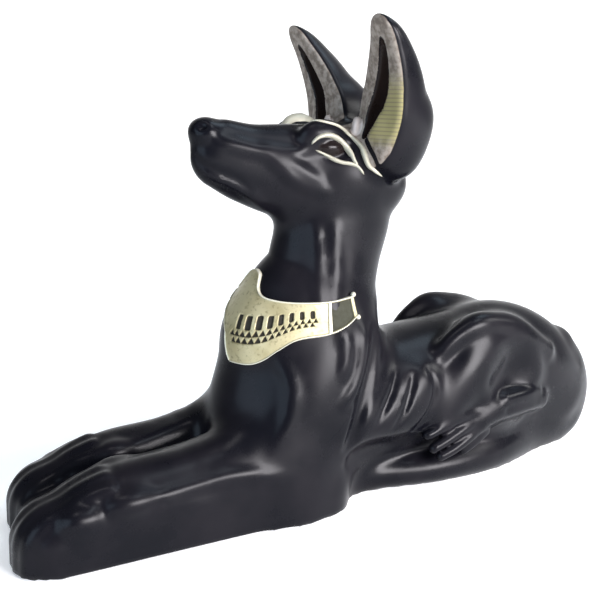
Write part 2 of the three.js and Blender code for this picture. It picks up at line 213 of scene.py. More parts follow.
# Stations of each form: centre x, y, z, then half width across x and radius in the YZ plane.
trunk = Limb([
    (0, -12, 12.1, 8.3, 9.1),
    (0, -5.2, 13.3, 9.5, 10.2),
    (0, 6.2, 13.6, 9.8, 9.8),
    (0, 20.5, 14.8, 8.7, 10.2),
    (0, 27.9, 15, 8.3, 11),
    (0, 34.9, 13.3, 7.6, 10.2),
    (0, 41.4, 9.5, 6.6, 8.7),
])
base = Limb([
    (0, -11, 5, 8.5, 7),
    (0, 0, 6, 5.4, 6),
    (0, 10, 6, 5.6, 6),
    (0, 24, 6, 7.2, 6),
    (0, 36, 5, 4.8, 5),
    (0, 42, 4, 3.6, 4),
], grounded=True)
neck = Limb([
    (0, -9.8, 11.4, 9.1, 12.9),
    (0, -8.6, 21.2, 8.7, 12.1),
    (0, -7.5, 26.5, 7.8, 10.9),
    (0, -6, 31.1, 6.8, 8.8),
    (0, -5, 36, 6.1, 8.5),
    (0, -3.9, 40.9, 5.9, 8.7),
    (0, -2.6, 44.7, 5.7, 7.6),
])
muzzle = Limb([
    (0, -3.7, 47.2, 5.3, 6.2),
    (0, -10.9, 47.2, 4.5, 6.4),
    (0, -17.3, 48.1, 3.4, 5.3),
    (0, -21.5, 49.4, 2.7, 4.5),
])
# An ear's own y is measured back from its face, and all that lies behind the face is drawn out.
ear = Limb([
    (6.05, 0, 51, 3.3, 2.7),
    (6.8, 0, 54.8, 4.85, 4.5),
    (7.8, 0, 58, 4.45, 3.8),
    (8.9, 0, 61, 3.75, 3.2),
    (9.8, 0, 63.4, 3, 2.6),
    (10.5, 0, 65.5, 2.4, 1.9),
    (10.9, 0, 66.7, 1.2, 0.9),
])
ear_groove = Limb([
    (5.4, 0, 52.4, 0.4, 0.5),
    (6.3, 0, 54.6, 1.1, 1.2),
    (7.5, 0, 57.4, 1.25, 1.4),
    (8.8, 0, 60.2, 1, 1.2),
    (9.9, 0, 63, 0.6, 0.8),
    (10.3, 0, 64.2, 0.3, 0.4),
])
upper_arm = Limb([
    (5.7, -5.2, 22.7, 3.6, 5.7),
    (5.9, -9, 15.9, 4.4, 7.2),
    (5.9, -12, 6.8, 4.5, 7.6),
    (5.9, -12.4, -1.5, 4.5, 7.6),
])
elbow = Limb([
    (6.8, -14.3, 4.5, 3.6, 3.8),
    (6.8, -8.2, 3, 3.6, 3.4),
], grounded=True)
foreleg = Limb([
    (5.3, -12.8, 6.8, 5, 7.2),
    (5.3, -20.4, 6.1, 5, 7.7),
    (5.3, -27.9, 5.5, 4.9, 6.6),
    (5.3, -35.5, 5.5, 4.9, 5.9),
    (5.3, -40.1, 4.8, 4.9, 5.3),
    (5.3, -44.2, 3.3, 4.8, 4.7),
], grounded=True)
paw_web = Limb([
    (0, -16, 3, 3, 5.8),
    (0, -31, 2, 3, 5.6),
    (0, -40, 2, 3, 5),
    (0, -46, 1.8, 3, 4.2),
], grounded=True)
flank = Limb([
    (7.9, -7, 12.9, 1.9, 2.4),
    (8, -1, 12.6, 2, 2.4),
    (7.9, 4.6, 13, 1.9, 2.3),
    (7.4, 7.4, 16.6, 1.7, 2.2),
])
thigh = Limb([
    (6.6, 19.5, 19.5, 2.9, 4.4),
    (7.9, 16.5, 17, 2.3, 3.6),
    (8.4, 13.6, 13.4, 1.9, 2.9),
    (8.6, 11.6, 10.6, 1.7, 2.3),
])
haunch_crest = Limb([
    (6.4, 11, 19.6, 1.2, 1.2),
    (6.9, 12.6, 21.4, 1.3, 1.4),
    (7.1, 15, 23.3, 1.4, 1.5),
    (7.4, 18.3, 24.7, 1.5, 1.6),
    (7.2, 23, 24.4, 1.5, 1.6),
    (7, 26.6, 23.2, 1.4, 1.6),
    (6.8, 30, 21.2, 1.4, 1.6),
    (6.2, 34.5, 18.4, 1.4, 1.6),
])
hind_foot = Limb([
    (7.2, 33, 10.6, 1.7, 1.9),
    (8, 28.4, 11, 1.9, 1.9),
    (8.4, 23, 10.9, 2, 2.1),
    (8.5, 19, 9.8, 2, 2.3),
])
tail = Limb([
    (0, 43.7, 16.7, 2.7, 3),
    (0.4, 46.3, 12.9, 2.7, 3),
    (1.1, 47.1, 7.6, 2.8, 3),
    (1.5, 45.8, 3.4, 2.6, 2.8),
    (1.9, 41, 2.8, 2.4, 2.6),
    (3.2, 35, 2.7, 2.3, 2.5),
    (6.4, 24.3, 2.5, 2.3, 2.5),
    (6.8, 13, 2.3, 2.3, 2.3),
    (4.9, 3.1, 2.1, 2.1, 2.1),
    (3.8, -2.9, 1.9, 1.9, 1.9),
])

# Rounded masses: centre, then radii along x, y and z.
skull = Mass((0, -2.2, 47), (6.1, 7.6, 6.4))
nose = Mass((0, -24.3, 52.3), (2.1, 1.9, 1.7))
brow = Mass((3.6, -8.6, 52.3), (1.5, 3.4, 2.1))
nape = Mass((0, 2.2, 45.6), (5, 5, 4.4))
breast = Mass((0, -12.8, 24.6), (7, 7.6, 6.6))
haunch = Mass((5.9, 22.8, 15.9), (4.2, 10.2, 10))
hip = Mass((6.4, 19, 21.6), (2.7, 4.2, 4.4))
flank_hollow = Mass((11.4, 25.4, 17), (3.4, 6.4, 5.2))
ear_root = Mass((6.6, 1.4, 53), (3.4, 4.6, 6.4))


def reached(points):
    """Points of the forelegs drawn back by each paw's own reach, on the left side."""
    drawn = smooth(DRAWN_FROM, DRAWN_BY, -points[:, 1])
    moved = on_left(points)
    moved[:, 1] += drawn * np.where(points[:, 0] > 0, LEFT_REACH, RIGHT_REACH)
    return moved


def set_back(points):
    """Points of the haunches drawn forward by the right one's set-back, on the left side."""
    share = smooth(-SET_BACK_WITHIN, SET_BACK_WITHIN, -points[:, 0])
    moved = on_left(points)
    moved[:, 1] -= RIGHT_SET_BACK * share
    return moved


def ear_space(points):
    """Points in the left ear's own space: its face is at y = 0 and curves forward to the tip."""
    above = np.maximum(points[:, 2] - EAR_FACE_HEIGHT, 0)
    moved = on_left(points)
    moved[:, 1] = (points[:, 1] - EAR_FACE + EAR_FACE_CURVE * above ** 2) / EAR_DRAW
    return moved


def head_form(points):
    """The skull with its muzzle, nose and brows."""
    head = Clay(points)
    head.add(skull, 1)
    head.add(muzzle, 2.3)
    head.add(nose, 1.1)
    head.add(brow, 1.5)
    return head.d


def figure(points):
    """The main forms of the whole figure: below zero inside, above zero outside."""
    clay = Clay(points)
    clay.add(trunk, 1)
    clay.add(base, 2.5)
    clay.add(neck, 3)
    clay.add(breast, 1.5)
    clay.add(head_form(points), 1.9)
    clay.add(nape, 1.5)
    ears = Clay(points)
    in_ear = ear_space(points)
    ears.add(ear, 1, in_ear)
    ears.cut(in_ear[:, 1] * EAR_DRAW, 1.2)
    ears.add(ear_root, 2)
    clay.add(ears.d, 1.9)
    arm = Clay(points)
    arm.add(upper_arm, 1)
    arm.add(elbow, 1.5)
    clay.add(arm.d, 2.3)
    clay.add(foreleg, 2.7, reached(points))
    clay.add(paw_web, 1.5)
    hind = set_back(points)
    clay.add(haunch, 2.3, hind)
    clay.add(hip, 1.5, hind)
    clay.cut(flank_hollow, 1.9, hind)
    clay.add(haunch_crest, 1.2, hind)
    clay.add(thigh, 1.2, hind)
    clay.add(hind_foot, 1.2, hind)
    clay.add(tail, 2.3, points)
    return clay.d


# Finer carving, laid on the skin: the course of each line as x, y, z, then its radius and how far
# it stands out or how deep it is cut.
HEAD_RIDGES = [
    ([(2.3, -23, 51.1), (2.8, -19.7, 50.5), (3.4, -16.8, 49.8), (3.8, -15.2, 48.5), (4.2, -13.5, 46.9),
      (4.5, -11.4, 45.8), (5, -8.9, 45)], 0.95, 0.42),
    ([(3, -17.6, 50.6), (3.6, -14.9, 50.3), (3.9, -12.9, 50.1), (4.4, -11.2, 50.4)], 0.6, 0.24),
    ([(3.6, -15.6, 49.9), (4.1, -13.4, 48.6), (4.6, -11.4, 47.3), (4.9, -9.6, 46.3)], 0.7, 0.3),
    ([(1.6, -24.4, 47.4), (2.1, -22.3, 46.4), (2.4, -20.3, 45.6), (2.4, -18.4, 44.4), (2.2, -16.8, 43.2)],
     0.6, 0.22),
]
BODY_RIDGES = [
    ([(4.9, -10, 40), (5.2, -9.6, 37), (5.9, -9.7, 34), (6.8, -9.9, 31.4), (7.6, -10, 29)], 0.8, 0.3),
    ([(5.6, -7.2, 40), (5.9, -7.2, 37), (6.4, -7.3, 34), (7.1, -7.8, 31.2), (7.8, -8, 29)], 0.8, 0.3),
    ([(8.6, -3.9, 26.6), (9.3, -4.1, 23.6), (9.7, -4.7, 20.9), (10.2, -5.8, 18.6), (10.4, -7.4, 16.6)],
     1, 0.5),
    ([(8.6, -7.2, 27), (9.3, -6.8, 24.6), (9.7, -7, 22.6), (10, -7.6, 20.6)], 0.9, 0.35),
    ([(6.4, -15.6, 23), (8.2, -14.6, 19.6), (8.8, -15.2, 15), (8.6, -17, 11.4)], 1, 0.25),
]
FORELEG_RIDGES = [
    ([(9.7, -38.4, 7.7), (9.8, -35, 8), (9.7, -31.9, 8.2), (9.6, -28.2, 8.6), (9.7, -24.8, 8.9),
      (10, -21.3, 8.7), (10.4, -18.6, 8.2), (10.9, -15.2, 7.8), (11.1, -12.6, 7.6)], 0.8, 0.42),
    ([(2.6, -42, 8.6), (2.2, -38.6, 9.3), (2, -35, 9.9), (2.3, -31, 10.6), (2.8, -27, 11.4),
      (2.4, -22, 12.6)], 0.9, 0.4),
    ([(10.1, -33.6, 6.6), (10.1, -29.8, 6.3), (10.2, -26.2, 6)], 0.6, 0.2),
]
knuckles = [
    Mass((9, -36.1, 7.7), (1.6, 2.5, 1.6)),
    Mass((8.5, -42, 6.5), (1.9, 2.6, 1.9)),
    Mass((2.4, -35.8, 9.5), (1.5, 2.3, 1.5)),
]
# The toes of a forepaw, side by side, with the y and z of the course that they share.
TOES = 4
TOE_SPREAD = 1.9
TOE_COURSE = [(-38.4, 9.6), (-41.5, 9.3), (-45, 8), (-47.6, 5.6), (-48.6, 2.8), (-48.8, 0)]
TOE_RADIUS = 1.05
TOE_PROUD = 0.5
# The toes of a hind foot are round: centre x, y, z and one radius at each station.
HIND_TOES = [
    [(8.6, 18.8, 11.2, 1.2), (9.3, 14.6, 10.9, 1), (9.6, 11.2, 10, 0.85), (9.7, 8, 9, 0.75)],
    [(8.8, 19, 10, 1.2), (9.6, 15.4, 9.2, 1), (9.9, 12, 7.9, 0.85), (9.9, 9.4, 6.9, 0.75)],
    [(8.9, 19.2, 8.9, 1.2), (9.7, 16.2, 7.6, 1), (10, 13.4, 6.3, 0.85), (9.9, 11, 5.4, 0.75)],
    [(8.7, 20.4, 7.6, 1), (9.4, 17.8, 6.4, 0.8), (9.6, 15.6, 5.4, 0.7)],
]
hock_bar = Limb([(7.6, 31.6, 12.4, 1, 0.9), (8.6, 27.6, 12.7, 1.2, 1), (9, 23.4, 12.6, 1.2, 1)])
hock_gap = Limb([(10.6, 31, 10.9, 0.9, 0.6), (11, 27, 11.1, 0.9, 0.7), (11.2, 23.6, 11, 0.9, 0.6)])
# The flat panel of the ribs: a place on its face, the degrees it faces, and its y and z corners.
rib_panel = Panel((9.7, 2, 14.5), 88, 11, [(1.4, 20.6), (8.4, 17.6), (9.4, 14.4), (6.4, 10), (-5.2, 9.2)])
RIBS = [
    [(8, 3.1, 19.3), (9.3, 1.4, 16.6), (9.8, -0.3, 14.4), (9.9, -1.6, 12.6)],
    [(8.4, 5.7, 18.6), (9.3, 4.8, 16.6), (9.8, 3.1, 13.5), (9.7, 1.6, 11.8)],
    [(8.2, 8.4, 19), (9, 9, 16.8), (9.4, 9, 14.8), (9.6, 7.6, 12.4), (9.2, 5.4, 10.2)],
]
RIB_RADIUS = 0.55
RIB_DEPTH = 0.36
MOUTH = ([(0.5, -26, 49.6), (1.3, -25.3, 48.5), (1.9, -24.3, 47.8), (2.4, -22.4, 47),
          (2.7, -20.4, 46.2), (2.7, -18.6, 45)], 0.5, 0.14)
SHOULDER_FURROW = ([(8.4, -1, 26), (9, -2, 22), (9.4, -3.6, 18), (9.8, -5.2, 13.6), (9.8, -6.2, 10)],
                   1, 0.5)
belly_recess = Limb([
    (12.6, -4, 7.4, 4, 2.4),
    (12, -1, 7.3, 4.6, 2.6),
    (12, 3, 7.1, 4.6, 2.6),
    (12, 6, 7.1, 4, 2.4),
])
nostril = Mass((1.7, -25.3, 52.9), (0.55, 0.75, 0.4))
eye = Mass((3.5, -7.6, 50.7), (1.7, 2.6, 1.4))
eye_socket = Mass((5.2, -7.6, 50.7), (0.9, 3, 1.5))
ear_bar = Mass((3.8, -3.4, 53.4), (0.65, 0.75, 1.7))
# A dark line in the paint parts the foot of the ear from the brow's tail.
ear_parting = Limb([
    (6.1, -3.4, 52, 0.3, 0.5),
    (6.9, -3.2, 50.9, 0.3, 0.5),
    (7.7, -2.8, 49.6, 0.3, 0.5),
    (7.9, -2.3, 48.5, 0.3, 0.5),
    (7.7, -1.4, 47.8, 0.3, 0.4),
])
# The paint on an ear goes this far behind its face, ahead of it and past its outline, and this
# far round the bar at its root, which also bounds the painted highlight on the bar.
BAND_BEHIND = 0.5
BAND_AHEAD = 2.4
BAND_OVERHANG = 0.15
BAR_PAINT = 0.2

# The raised gold lines round the eye: their course on the skin, then their half width at the front,
# at each third and at the tail, and their rise, in millimetres, and the sides that have them.
EYE_LINES = {
    "upper_lid": (
        [(4.6, -10.9, 51.1), (4.7, -10.6, 51.6), (5, -9.8, 52.2), (5.1, -8.5, 52.4), (5, -7.1, 52),
         (4.9, -5.8, 51.1), (5.3, -5.2, 50.2), (5.8, -4.9, 49.2), (6.2, -4.4, 48.3)],
        (0.5, 1, 1.1, 0.7), (0.5, 0.9, 0.9, 0.7), (1, -1)),
    "lower_lid": (
        [(4.4, -10.2, 50.4), (4.7, -8.7, 49.8), (5.1, -7.5, 49.2), (5.5, -6.6, 48.9), (5.9, -5.3, 48.7),
         (6.2, -4.4, 48.3), (6.5, -3.6, 47.3)],
        (0.4, 0.9, 0.8, 0.6), (0.4, 0.9, 0.8, 0.6), (1, -1)),
    "brow": (
        [(3.4, -10.6, 54), (4.3, -8.9, 53.9), (4.4, -6.6, 53.4), (4.2, -4.9, 52.5), (4.7, -4.2, 51.8),
         (5.7, -3.7, 50.9), (6.2, -3.6, 50.1), (6.8, -3.2, 48.6), (7.2, -2.4, 47.9), (7.1, -1, 47.1)],
        (0.5, 0.7, 1.3, 0.6), (0.5, 0.8, 1.1, 0.6), (1,)),
    "far_brow": (
        [(1.6, -12.6, 53.1), (2.8, -10.6, 54), (3.4, -9, 54.4), (3.6, -7.4, 54.5), (3.9, -5.8, 53.8),
         (4.5, -4.6, 52.5), (5.7, -3.7, 50.9), (6.8, -3.2, 48.6), (7.1, -1, 47.1)],
        (1.4, 3, 1.3, 0.6), (0.8, 1.9, 1.1, 0.6), (-1,)),
}
LINE_FOOT = 0.9
LINE_TAPER = 1 / 14
LINE_STEPS = 12
LINE_SIDES = 9


def slope(field, points, here, step=0.06):
    """The field's gradient, from its values here and one step along each axis."""
    columns = [(field(points + step * move) - here) / step for move in np.eye(3, dtype=np.float32)]
    return np.stack(columns, 1)


def settle(points, field, passes=3, longest=0.8, least_slope=0.3):
    """Moves points onto the skin along the steepest way, in steps of limited length."""
    for _ in range(passes):
        here = field(points)
        rise = slope(field, points, here)
        step = rise * (here / np.maximum((rise ** 2).sum(1), least_slope))[:, None]
        size = np.linalg.norm(step, axis=1)[:, None]
        points = points - step * np.minimum(1, longest / np.maximum(size, 1e-6))
    return points


def outward(field, points):
    """Unit normals of the skin, from the slope on both sides of each point."""
    here = field(points)
    rise = slope(field, points, here) + slope(lambda place: -field(2 * points - place), points, -here)
    return rise / np.linalg.norm(rise, axis=1)[:, None]


def paw(points):
    """A foreleg alone, before its paw is drawn out."""
    return Clay(points).reach(foreleg)


def flanked(points):
    """The figure with its flank and the flat panel of its ribs."""
    clay = Clay(points, figure(points))
    clay.add(flank, 2.2)
    clay.add(rib_panel, 1.4)
    return clay.d


LAID_STEPS = 3


def laid(line, radius, proud, lift, field=figure):
    """A thin limb whose course lies on the skin and stands out of it by the given amount. Towards
    its ends it is lifted."""
    course = smooth_course(line, LAID_STEPS)
    skin = settle(course, field)
    ends = np.abs(np.linspace(-1, 1, len(skin)))[:, None] ** 5
    rings = skin + outward(field, skin) * (proud - radius + lift * ends)
    return Limb([(*ring, radius, radius) for ring in rings], steps=LAID_STEPS)


def ridge(line, radius, proud, field=figure):
    """A rib that stands out of the skin and sinks into it at its ends."""
    return laid(line, radius, proud, lift=-0.5, field=field)


def furrow(line, radius, depth, field=figure):
    """The shape to cut for a furrow that runs out at its ends."""
    return laid(line, radius, 2 * radius - depth, lift=0.4, field=field)


def toe(number):
    """One ridge over the front of a forepaw."""
    x = foreleg.rings[-1, 0] + (number - (TOES - 1) / 2) * TOE_SPREAD
    return laid([(x, y, z) for y, z in TOE_COURSE], TOE_RADIUS, TOE_PROUD, lift=0, field=paw)


ridges = [ridge(*spec) for spec in HEAD_RIDGES + BODY_RIDGES]
foreleg_ridges = [ridge(*spec, paw) for spec in FORELEG_RIDGES]
toes = [toe(number) for number in range(TOES)]
hind_toes = [Limb([(*station, station[3]) for station in stations]) for stations in HIND_TOES]
mouth = furrow(*MOUTH)
ribs = [furrow(line, RIB_RADIUS, RIB_DEPTH, flanked) for line in RIBS]
shoulder_furrow = furrow(*SHOULDER_FURROW)


def raised(points):
    """The figure with the fine ridges of its head and body, before anything is cut."""
    clay = Clay(points, flanked(points))
    for one in ridges:
        clay.add(one, 0.9)
    return clay.d


def carved(points):
    """The figure with all its finer carving."""
    clay = Clay(points, raised(points))
    forward = reached(points)
    for forms, fillet in ((foreleg_ridges, 0.8), (knuckles, 1.2), (toes, 0.7)):
        for one in forms:
            clay.add(one, fillet, forward)
    hind = set_back(points)
    for one in hind_toes:
        clay.add(one, 0.5, hind)
    clay.add(hock_bar, 0.8, hind)
    clay.cut(hock_gap, 0.6, hind)
    clay.cut(belly_recess, 1.2)
    clay.add(tail, 0.8, points)
    for one in ribs:
        clay.cut(one, 0.5)
    clay.cut(shoulder_furrow, 1)
    clay.cut(mouth, 0.5)
    clay.cut(nostril, 0.3)
    clay.cut(eye_socket, 0.5)
    clay.add(eye, 0.15)
    clay.cut(ear_groove, 0.35, ear_space(points))
    clay.add(ear_bar, 0.3)
    return np.maximum(clay.d, -points[:, 2])


# The skin's mesh: a coarse grid of blocks finds the skin, cells inside those blocks carry it, and
# quads where the carving is fine are split once more. A block is looked into when its middle is
# nearer to the skin than its half diagonal, with some slack for the field's own error.
BODY_LOW = np.array((-14, -52, -1.2), np.float32)
BODY_HIGH = np.array((14, 52, 69), np.float32)
CELL = 0.6
BLOCK = 4
HALF_DIAGONAL = 0.9
FIELD_SLACK = 0.3
POINTS_AT_ONCE = 40000
RELAX_PASSES = 3
RELAX_SHARE = 0.6


def in_parts(work, points):
    """Works on some of the points at a time, which spares memory."""
    parts = np.array_split(points, len(points) // POINTS_AT_ONCE + 1)
    return np.concatenate([work(part) for part in parts])


def sampled(field, low, high):
    """The field on a grid of cells; blocks that the skin doesn't cross only keep their sign."""
    counts = np.ceil((high - low) / (CELL * BLOCK)).astype(int)
    axes = [low[i] + CELL * np.arange(counts[i] * BLOCK + 1) for i in range(3)]
    centres = [low[i] + CELL * BLOCK * (np.arange(counts[i]) + 0.5) for i in range(3)]
    grid = np.stack(np.meshgrid(*centres, indexing="ij"), -1).reshape(-1, 3).astype(np.float32)
    coarse = field(grid).reshape(counts)
    values = np.repeat(np.repeat(np.repeat(coarse, BLOCK, 0), BLOCK, 1), BLOCK, 2)
    values = np.pad(values, ((0, 1), (0, 1), (0, 1)), mode="edge")
    crossed = np.argwhere(np.abs(coarse) < CELL * BLOCK * HALF_DIAGONAL + FIELD_SLACK)
    corner = np.stack(np.meshgrid(*[np.arange(BLOCK + 1)] * 3, indexing="ij"), -1).reshape(1, -1, 3)
    index = (crossed[:, None] * BLOCK + corner).reshape(-1, 3)
    flat = np.unique(np.ravel_multi_index(index.T, values.shape))
    where = np.unravel_index(flat, values.shape)
    points = np.stack([axes[i][where[i]] for i in range(3)], 1).astype(np.float32)
    values[where] = in_parts(field, points)
    return values, axes


def surface_nets(values, axes):
    """One point in each cell that the skin crosses, and one quad across each crossed edge."""
    inside = values < 0
    shape = tuple(n - 1 for n in values.shape)
    corners = [(a, b, c) for a in (0, 1) for b in (0, 1) for c in (0, 1)]
    count = np.zeros(shape, int)
    for a, b, c in corners:
        count += inside[a:shape[0] + a, b:shape[1] + b, c:shape[2] + c]
    crossed = (count > 0) & (count < 8)
    cells = np.argwhere(crossed)
    number = np.full(shape, -1)
    number[crossed] = np.arange(len(cells))
    total = np.zeros((len(cells), 3))
    hits = np.zeros(len(cells))
    for start in corners:
        for axis in range(3):
            if start[axis]:
                continue
            end = [1 if i == axis else start[i] for i in range(3)]
            a = values[tuple((cells + start).T)]
            b = values[tuple((cells + end).T)]
            cut = (a < 0) != (b < 0)
            point = np.stack([axes[i][cells[:, i] + start[i]] for i in range(3)], 1)
            point[:, axis] += CELL * np.where(cut, a / np.where(cut, a - b, 1), 0)
            total += point * cut[:, None]
            hits += cut
    quads = []
    for axis in range(3):
        low = [slice(None)] * 3
        high = [slice(None)] * 3
        low[axis] = slice(None, -1)
        high[axis] = slice(1, None)
        starts, ends = inside[tuple(low)], inside[tuple(high)]
        edges = np.argwhere(starts != ends)
        leaving = starts[tuple(edges.T)]
        u, v = [(1, 2), (2, 0), (0, 1)][axis]
        ring = np.zeros((4, 3), int)
        ring[[0, 3], u] = -1
        ring[[0, 1], v] = -1
        quad = np.stack([number[tuple((edges + move).T)] for move in ring], 1)
        quads.append(np.where(leaving[:, None], quad, quad[:, ::-1]))
    return (total / hits[:, None]).astype(np.float32), np.concatenate(quads)


def relaxed(points, quads, field):
    """Evens out the mesh: points move to the middle of their neighbours and back to the skin."""
    starts, ends = np.concatenate([quads[:, [i, (i + 1) % 4]] for i in range(4)]).T
    count = np.bincount(starts)[:, None]
    for _ in range(RELAX_PASSES):
        total = np.stack([np.bincount(starts, column[ends]) for column in points.T], 1)
        points = points * (1 - RELAX_SHARE) + total / count * RELAX_SHARE
        points = settle(points.astype(np.float32), field, 1)
    return settle(points, field, 2)


def split(points, quads, chosen):
    """Splits the chosen quads in four. A neighbour keeps its shape and takes the new edge points in."""
    edges = np.sort(np.concatenate([quads[:, [i, (i + 1) % 4]] for i in range(4)]), 1)
    codes = edges[:, 0].astype(np.int64) * len(points) + edges[:, 1]
    wanted = np.unique(codes.reshape(4, -1)[:, chosen])
    middles = (points[wanted // len(points)] + points[wanted % len(points)]) / 2
    found = np.minimum(np.searchsorted(wanted, codes), len(wanted) - 1)
    at = np.where(wanted[found] == codes, len(points) + found, -1).reshape(4, -1).T
    centres = points[quads[chosen]].mean(1)
    centre_at = len(points) + len(wanted) + np.arange(len(centres))
    faces = []
    for i in range(4):
        before = at[chosen][:, i - 1]
        faces.append(np.stack([quads[chosen][:, i], at[chosen][:, i], centre_at, before], 1))
    faces = [tuple(face) for face in np.concatenate(faces)]
    for quad, marks in zip(quads[~chosen], at[~chosen]):
        face = []
        for corner, mark in zip(quad, marks):
            face.append(corner)
            if mark >= 0:
                face.append(mark)
        faces.append(tuple(face))
    return np.concatenate([points, middles, centres]).astype(np.float32), faces


def has_fine_carving(middles):
    """Quads on the head, the paws, the hind feet, the ribs and the shoulders."""
    x, y, z = np.abs(middles[:, 0]), middles[:, 1], middles[:, 2]
    head = z > 39
    paws = (y < -33) & (z > 1)
    hind_feet = (x > 5) & (y > 6) & (y < 36) & (z > 3.6) & (z < 27)
    ribs = (x > 6.5) & (y > -9) & (y < 10) & (z > 8) & (z < 24)
    return head | paws | hind_feet | ribs


def grid_quads(index):
    """The quads between the rows and columns of point numbers."""
    corners = (index[:-1, :-1], index[:-1, 1:], index[1:, 1:], index[1:, :-1])
    return np.stack(corners, -1).reshape(-1, 4)


def in_scene(name, data):
    """A new object that shows the data."""
    thing = bpy.data.objects.new(name, data)
    bpy.context.scene.collection.objects.link(thing)
    return thing


def mesh_object(name, points, faces):
    mesh = bpy.data.meshes.new(name)
    places = (np.asarray(points, float) * SHARE).tolist()
    mesh.from_pydata(places, [], [tuple(map(int, face)) for face in faces])
    mesh.validate()
    mesh.shade_smooth()
    return in_scene(name, mesh)


def note(piece, name, values):
    """Keeps one value for each point of the piece, for its material."""
    layer = piece.data.attributes.new(name, "FLOAT", "POINT")
    layer.data.foreach_set("value", np.asarray(values, np.float32))


def softened(normals, faces):
    """Normals averaged over the faces round each point, so that fine kinks don't catch the light."""
    corners = np.concatenate(faces)
    sizes = np.array([len(face) for face in faces])
    owners = np.repeat(np.arange(len(faces)), sizes)
    for _ in range(2):
        means = [np.bincount(owners, column[corners]) / sizes for column in normals.T]
        normals = np.stack([np.bincount(corners, mean[owners], len(normals)) for mean in means], 1)
        normals /= np.linalg.norm(normals, axis=1)[:, None]
    return normals


def body():
    """The whole skin, with its own normals and the values that its paint reads."""
    values, axes = sampled(carved, BODY_LOW, BODY_HIGH)
    points, quads = surface_nets(values, axes)
    points = relaxed(points, quads, carved)
    points, faces = split(points, quads, has_fine_carving(points[quads].mean(1)))
    fine = in_parts(lambda part: settle(part, carved, 2), points)
    piece = mesh_object("jackal_body", fine, faces)
    normals = in_parts(lambda part: outward(carved, part), fine)
    piece.data.normals_split_custom_set_from_vertices(softened(normals, faces).tolist())
    side = on_left(fine)
    note(piece, "gold", band_depth(fine))
    note(piece, "hollow", -ear_groove.distance(ear_space(fine)))
    note(piece, "eye", -eye.distance(side))
    note(piece, "yellow", yellow_share(fine))
    # This value places the painted highlight, a whiter colour, on the bar at the ear's root.
    note(piece, "bright", BAR_PAINT - ear_bar.distance(side))
    return piece


def band_depth(points):
    """How far a point is inside the light paint on the face of an ear or on its bar."""
    place = ear_space(points)
    behind = place[:, 1] * EAR_DRAW
    place[:, 1] = 0
    face = np.minimum(BAND_BEHIND - behind, BAND_AHEAD + behind)
    face = np.minimum(face, BAND_OVERHANG - ear.distance(place))
    side = on_left(points)
    brow_line = np.array(EYE_LINES["brow"][0])[::-1]
    face = np.minimum(face, side[:, 1] - np.interp(side[:, 2], brow_line[:, 2], brow_line[:, 1]))
    face = np.minimum(face, ear_parting.distance(side))
    return np.maximum(face, BAR_PAINT - ear_bar.distance(side))


def yellow_share(points):
    """The ear paint is yellow low down on the outer side of one ear's face and greyish elsewhere."""
    outer = points[:, 0] - np.interp(points[:, 2], ear.rings[:, 2], ear.rings[:, 0])
    return smooth(-0.1, 0.7, outer) * smooth(61.5, 57, points[:, 2]) * smooth(50.5, 53, points[:, 2])


# The collar is a plate with raised rims and a field of small openings. It is laid out in degrees
# round the neck from the front, with its edges as heights; its own sizes are millimetres.
COLLAR_AXIS = -6.7
COLLAR_END = 104
COLLAR_COLUMNS = 720
COLLAR_ROWS = 110
WIDEST = 16.0
SKIN_HALVINGS = 16
NECKLINE = [(0, 33.9), (7, 33.4), (12, 31.8), (18, 30.9), (30, 30.5), (48, 30.4), (75, 30.5),
            (95, 30.8), (COLLAR_END, 31)]
HEM = [(0, 21.8), (19, 21.8), (28, 22.6), (36, 24), (48, 25.4), (71, 25.9), (88, 26.7), (COLLAR_END, 28)]
# Below one height the collar is open down the front, off its centre. The two edges there run by
# height and are measured round from the middle, with the left side counting positive.
OPEN_BELOW = 30
LEFT_EDGE = [(21.6, 7.2), (22.1, 4.6), (22.8, 3.4), (24, 2.4), (25.6, 1.2), (27.2, -2), (29, -7), (30, -12)]
RIGHT_EDGE = [(21.6, -26), (26, -24), (28, -20), (30, -16)]
PLATE = 1.1
RIM = 0.45
RIM_WIDTH = 1.0
SUNK = -0.8
# The wall of an opening runs between these distances outside and inside its outline.
WALL = (0.12, -0.2)
# A bar parts the field of openings from a sunk panel, which ends this many degrees short.
BAR_ANGLE = 74
BAR_WIDTH = 1.6
PANEL_DEPTH = 0.55
PANEL_SHORT = 4
# The cells lean and stand in a row. They grow with the height of the plate, up to a limit, and
# so do the two rows of scales below them. The levels are shares of that height.
OPENING_DEPTH = 0.8
CELLS = 8
CELL_START = 7.2
CELL_PITCH = 4.0
CELL_LEVEL = 0.64
CELL_LEAN = -0.12
CELL_HALF_WIDTH = 0.4
CELL_WIDENING = 0.034
CELL_HALF_HEIGHT = 0.105
CELL_CORNER = 0.6
GROWING_UP_TO = 23
SCALE_LEVELS = (0.475, 0.375)
SCALE_PITCH = 2.4
SCALE_HALF = 0.2
SCALE_WIDENING = 0.042
KNOB_RADIUS = 0.95
KNOB_TURNS = 14


def edge_height(rows, angle):
    """A smooth curve through an edge's angles and heights."""
    course = smooth_course(rows, 12)
    return np.interp(np.abs(angle), course[:, 0], course[:, 1])


def collar_skin(angle, height):
    """Where the way out from the collar's axis leaves the skin."""
    out = np.stack([np.sin(angle), -np.cos(angle), 0 * angle], -1)
    axis = np.stack([0 * angle, 0 * angle + COLLAR_AXIS, height], -1)
    near, far = np.zeros(len(axis)), np.full(len(axis), WIDEST)
    for _ in range(SKIN_HALVINGS):
        middle = (near + far) / 2
        inside = figure((axis + out * middle[:, None]).astype(np.float32)) < 0
        near, far = np.where(inside, middle, near), np.where(inside, far, middle)
    return (axis + out * near[:, None]).astype(np.float32)


